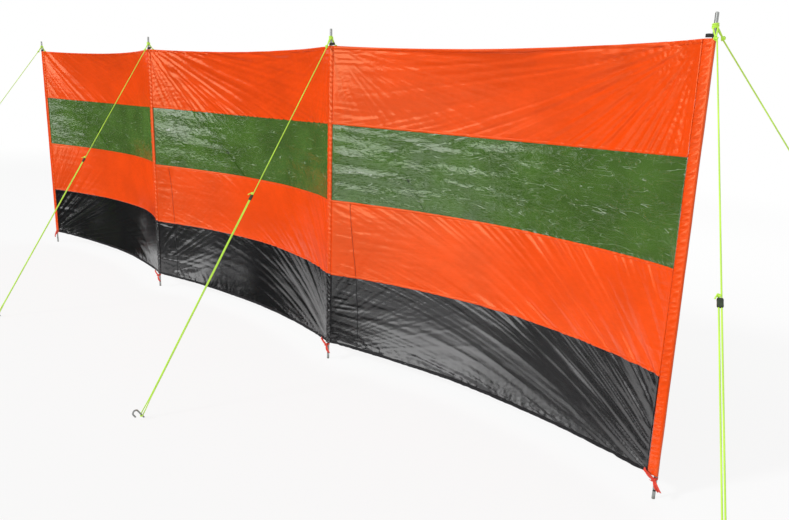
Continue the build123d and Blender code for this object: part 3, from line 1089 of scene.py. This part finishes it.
class WINDBREAK_OT_ties(bpy.types.Operator):
    """Makes the tape ties under the sleeves"""

    bl_idname = "windbreak.ties"
    bl_label = "Tape ties"

    def execute(self, context):
        colour = context.scene.windbreak_colours.tape
        finish = woven_finish("ribbed_tie_tape", colour, pitch=0.0012, roughness=0.55)
        pole_pieces(self.tie, "tie_tape", finish, "tape_tie")
        return {"FINISHED"}

    def tie(self, number):
        """A turn of tape round the pole, a knot in front, two tapes from the cloth's corner and three tails.

        Each tape leaves the knot in a straight line that bows out by a sine and turns about itself.
        """
        drop, gap, knot_gap = 0.007, 0.001, 0.003
        width, turn_width, thickness = 0.0082, 0.0075, 0.0012
        lift, arch = 0.001, 0.004
        centre = np.array([POLE_X[number], 0.0, BOTTOM_EDGE - drop])
        t = turn_angles(40)
        radius = POLE_RADIUS + gap
        turn = centre + np.stack([radius * np.cos(t), radius * np.sin(t), gap * np.sin(t)], axis=-1)
        parts = [carried(turn, flat_strip(thickness, turn_width), (0, 0, 1), closed=True)]
        front = centre + (0, -radius - knot_gap, -knot_gap)
        axes = ((1.0, 0.0, 0.0), (0.0, 0.0, 1.0), (0.0, -1.0, 0.0))
        parts.append(knot(front, axes, (0.3, -1, 0.2), width=0.0095, cord=0.0024, points=60))
        mirror = -1 if number == NUMBERS[0] else 1
        out = np.array([0, -1.0, 0])
        t = np.linspace(0, 1, 24)[:, None]
        swing = np.sin(pi * t)
        for bearing, length, bow, twist in TIE_TAPES:
            level, upright = cos(radians(bearing)), sin(radians(bearing))
            aim = np.array([mirror * level, 0, upright])
            over = np.array([-mirror * upright, 0, level])
            tape = front + length * t * aim + bow * swing * over + out * (lift + arch * swing)
            parts.append(carried(tape, flat_strip(width, thickness), out, turn=twist * (0.4 + t[:, 0])))
        return parts


class WINDBREAK_OT_poles(bpy.types.Operator):
    """Gives the steel poles their finish"""

    bl_idname = "windbreak.poles"
    bl_label = "Poles"

    def execute(self, context):
        ring = (0.026, 0.031)
        finish = steel_finish("drawn_pole_steel", context.scene.windbreak_colours.steel, ring)
        for number in NUMBERS:
            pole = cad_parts[f"pole_{number}"]
            pole.data.materials.clear()
            pole.data.materials.append(finish)
        return {"FINISHED"}


class WINDBREAK_OT_stage(bpy.types.Operator):
    """Makes the floor, the lights and the camera"""

    bl_idname = "windbreak.stage"
    bl_label = "Stage"

    def execute(self, context):
        stage = context.scene.windbreak_stage
        context.scene.view_settings.view_transform = "Standard"
        self.floor(context, stage)
        self.sky(context, stage)
        self.flags(context)
        self.lamp(
            context, "soft_box", stage.soft_box,
            place=(-0.5, -20.0, 4.7), target=(-0.5, 0.0, 4.7), size=(25.0, 9.2),
        )
        self.lamp(
            context, "rear_lamp", stage.rear,
            place=(2.2, 4.5, 3.2), target=(2.2, 0.0, 0.7), size=(5.0, 2.0),
        )
        self.sun(context, stage.sun, towards=(-0.35, -0.77, 0.53))
        self.camera(context, stage)
        return {"FINISHED"}

    def seen(self, shading):
        """1 for rays that show the background: from the camera, from gloss and through film."""
        kinds = ("Camera", "Glossy", "Transmission")
        camera, gloss, film = (shading.node("ShaderNodeLightPath", output=f"Is {kind} Ray") for kind in kinds)
        return shading.node("ShaderNodeMath", {"operation": "MINIMUM"}, {0: camera + gloss + film, 1: 1.0})

    def ground(self, context, name, points, material):
        """A flat grid of the stage."""
        corners, faces, _ = patch(points, points[..., :2])
        mesh = bpy.data.meshes.new(name)
        mesh.from_pydata(corners.tolist(), [], faces.tolist())
        mesh.materials.append(material)
        made = bpy.data.objects.new(name, mesh)
        context.scene.collection.objects.link(made)
        return made

    def floor(self, context, stage):
        """A flat grid far beyond the object. What sees it sees it nearly white, with the shadow kept."""
        reach, drop = 60.0, 0.0005
        near_share = 0.86
        x, y = np.meshgrid(np.linspace(-reach, reach, 3), np.linspace(-reach, reach, 3))
        s = Shading(bpy.data.materials.new("pale_floor"))
        grain = s.noise(s.place(), scale=30.0, detail=3.0)
        colour = s.mixed(grain, shaded(stage.floor, 0.99), stage.floor)
        matt = s.node("ShaderNodeBsdfDiffuse", None, {"Color": colour})
        white = s.node("ShaderNodeEmission", None, {"Color": (1.0, 1.0, 1.0), "Strength": 1.0})
        distance = s.node("ShaderNodeVectorMath", {"operation": "LENGTH"}, {0: s.place()}, "Value")
        share = near_share + (1 - near_share) * s.smooth(distance, low=4.0, high=8.0)
        mix = s.node("ShaderNodeMixShader", None, {0: self.seen(s) * share, 1: matt, 2: white})
        self.ground(context, "floor", np.stack([x, y, np.full_like(x, -drop)], axis=-1), s.surface(mix))

    def flags(self, context):
        """The dark cards that keep reflected colours deep."""
        lift = 0.0005
        for name, (left, front, width, depth) in FLOOR_FLAGS.items():
            self.flag(context, name, (left, front, lift), (width, 0, 0), (0, depth, 0))
        place, front, depth, height = SIDE_FLAG
        self.flag(context, "side_flag", (place, front, lift), (0, depth, 0), (0, 0, height))

    def flag(self, context, name, corner, along, up):
        """A dark card from a corner along two edges, seen only in reflections."""
        first, second = np.meshgrid([0.0, 1.0], [0.0, 1.0])
        points = np.array(corner) + first[..., None] * np.array(along) + second[..., None] * np.array(up)
        s = Shading(bpy.data.materials.new(name))
        dark = s.node("ShaderNodeBsdfDiffuse", None, {"Color": (0.03, 0.035, 0.025)})
        card = self.ground(context, name, points, s.surface(dark))
        for rays in ("camera", "diffuse", "transmission", "shadow"):
            setattr(card, f"visible_{rays}", False)

    def sky(self, context, stage):
        """Even light from all round, white where it is seen."""
        s = Shading(context.scene.world or bpy.data.worlds.new("sky"))
        context.scene.world = s.owner
        strength = stage.sky + self.seen(s) * (1.0 - stage.sky)
        sky = s.node("ShaderNodeBackground", None, {"Color": (1.0, 1.0, 1.0), "Strength": strength})
        s.node("ShaderNodeOutputWorld", None, {"Surface": sky})

    def lamp(self, context, name, power, place, target, size):
        """A soft rectangular lamp that faces a point."""
        light = bpy.data.lights.new(name, "AREA")
        light.shape = "RECTANGLE"
        light.size, light.size_y = size
        light.energy = power
        lamp = bpy.data.objects.new(name, light)
        lamp.location = place
        lamp.rotation_euler = (Vector(target) - Vector(place)).to_track_quat("-Z", "Y").to_euler()
        context.scene.collection.objects.link(lamp)

    def sun(self, context, strength, towards):
        """A wide sun that stands in a given direction. It leaves no glints."""
        light = bpy.data.lights.new("sun", "SUN")
        light.energy = strength
        light.angle = radians(8)
        sun = bpy.data.objects.new("sun", light)
        sun.rotation_euler = Vector(towards).to_track_quat("Z", "Y").to_euler()
        sun.visible_glossy = False
        context.scene.collection.objects.link(sun)

    def camera(self, context, stage):
        """The photograph's camera: in front of the right end, looking along the row and a little down."""
        data = bpy.data.cameras.new("camera")
        data.sensor_fit = "HORIZONTAL"
        data.sensor_width = 36.0
        data.lens = stage.lens
        data.clip_start = 0.05
        data.clip_end = 300.0
        right = Vector((0.71477, 0.69867, 0.03100))
        up = Vector((-0.18913, 0.15044, 0.97036))
        place = Vector((5.2562, -1.9405, 1.1873))
        camera = bpy.data.objects.new("camera", data)
        rotation = Matrix((right, up, right.cross(up))).transposed().to_4x4()
        camera.matrix_world = Matrix.Translation(place) @ rotation
        context.scene.collection.objects.link(camera)
        context.scene.camera = camera


OPERATORS = (
    WINDBREAK_OT_bands,
    WINDBREAK_OT_seams,
    WINDBREAK_OT_sleeves,
    WINDBREAK_OT_guys,
    WINDBREAK_OT_sliders,
    WINDBREAK_OT_pegs,
    WINDBREAK_OT_webbing,
    WINDBREAK_OT_ties,
    WINDBREAK_OT_poles,
    WINDBREAK_OT_stage,
)

GROUPS = {
    "windbreak_cloth": WindbreakCloth,
    "windbreak_colours": WindbreakColours,
    "windbreak_stage": WindbreakStage,
}


class WINDBREAK_PT_pieces(bpy.types.Panel):
    """Lists the steps that dress the windbreak"""

    bl_idname = "WINDBREAK_PT_pieces"
    bl_label = "Windbreak"
    bl_space_type = "VIEW_3D"
    bl_region_type = "UI"
    bl_category = "Windbreak"

    def draw(self, context):
        for key in GROUPS:
            group = getattr(context.scene, key)
            column = self.layout.column(align=True)
            for name in group.bl_rna.properties.keys():
                if name not in ("rna_type", "name"):
                    column.prop(group, name)
        for operator in OPERATORS:
            self.layout.operator(operator.bl_idname)


CLASSES = (*GROUPS.values(), *OPERATORS, WINDBREAK_PT_pieces)


def register():
    for cls in CLASSES:
        bpy.utils.register_class(cls)
    for key, group in GROUPS.items():
        setattr(bpy.types.Scene, key, PointerProperty(type=group))


def unregister():
    for key in GROUPS:
        delattr(bpy.types.Scene, key)
    for cls in reversed(CLASSES):
        bpy.utils.unregister_class(cls)


def main():
    register()
    for operator in OPERATORS:
        group, name = operator.bl_idname.split(".")
        getattr(getattr(bpy.ops, group), name)()


if __name__ == "__main__":
    main()
